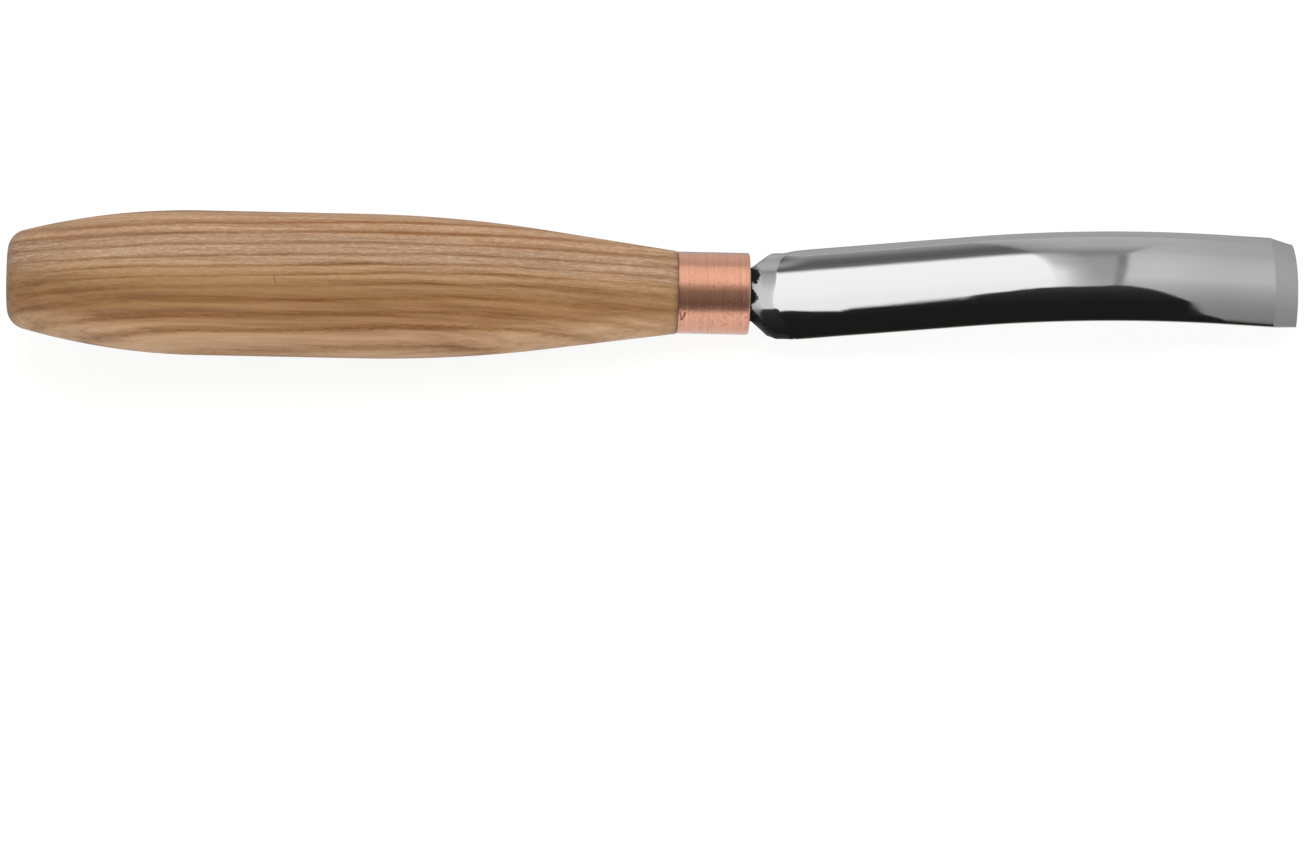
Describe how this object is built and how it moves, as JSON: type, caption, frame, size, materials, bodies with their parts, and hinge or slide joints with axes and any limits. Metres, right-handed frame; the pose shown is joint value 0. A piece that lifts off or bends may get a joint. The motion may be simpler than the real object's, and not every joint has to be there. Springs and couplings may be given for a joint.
{
  "type": "bent gouge",
  "caption": "Bent carving gouge with a turned ash handle, a copper ferrule and a polished steel blade: a full-width trough, bent near its end and bevelled on its convex back.",
  "frame": {"origin": "centre of the flat face on the handle's butt, on the handle's axis", "axes": "+X along the handle's axis from the butt to the cutting edge, +Z towards the convex back of the blade, and XZ is the blade's plane of symmetry"},
  "size_m": [0.2692, 0.0302, 0.0309],
  "materials": {
    "ash_wood": "turned, sanded and oiled, satin",
    "copper": "bare copper, brushed round the axis",
    "polished_steel": "mirror polished, with a satin bevel and traces of forging scale at the neck"
  },
  "bodies": {
    "root": {"handle": "ash_wood", "ferrule": "copper", "blade": "polished_steel"}
  },
  "joints": []
}
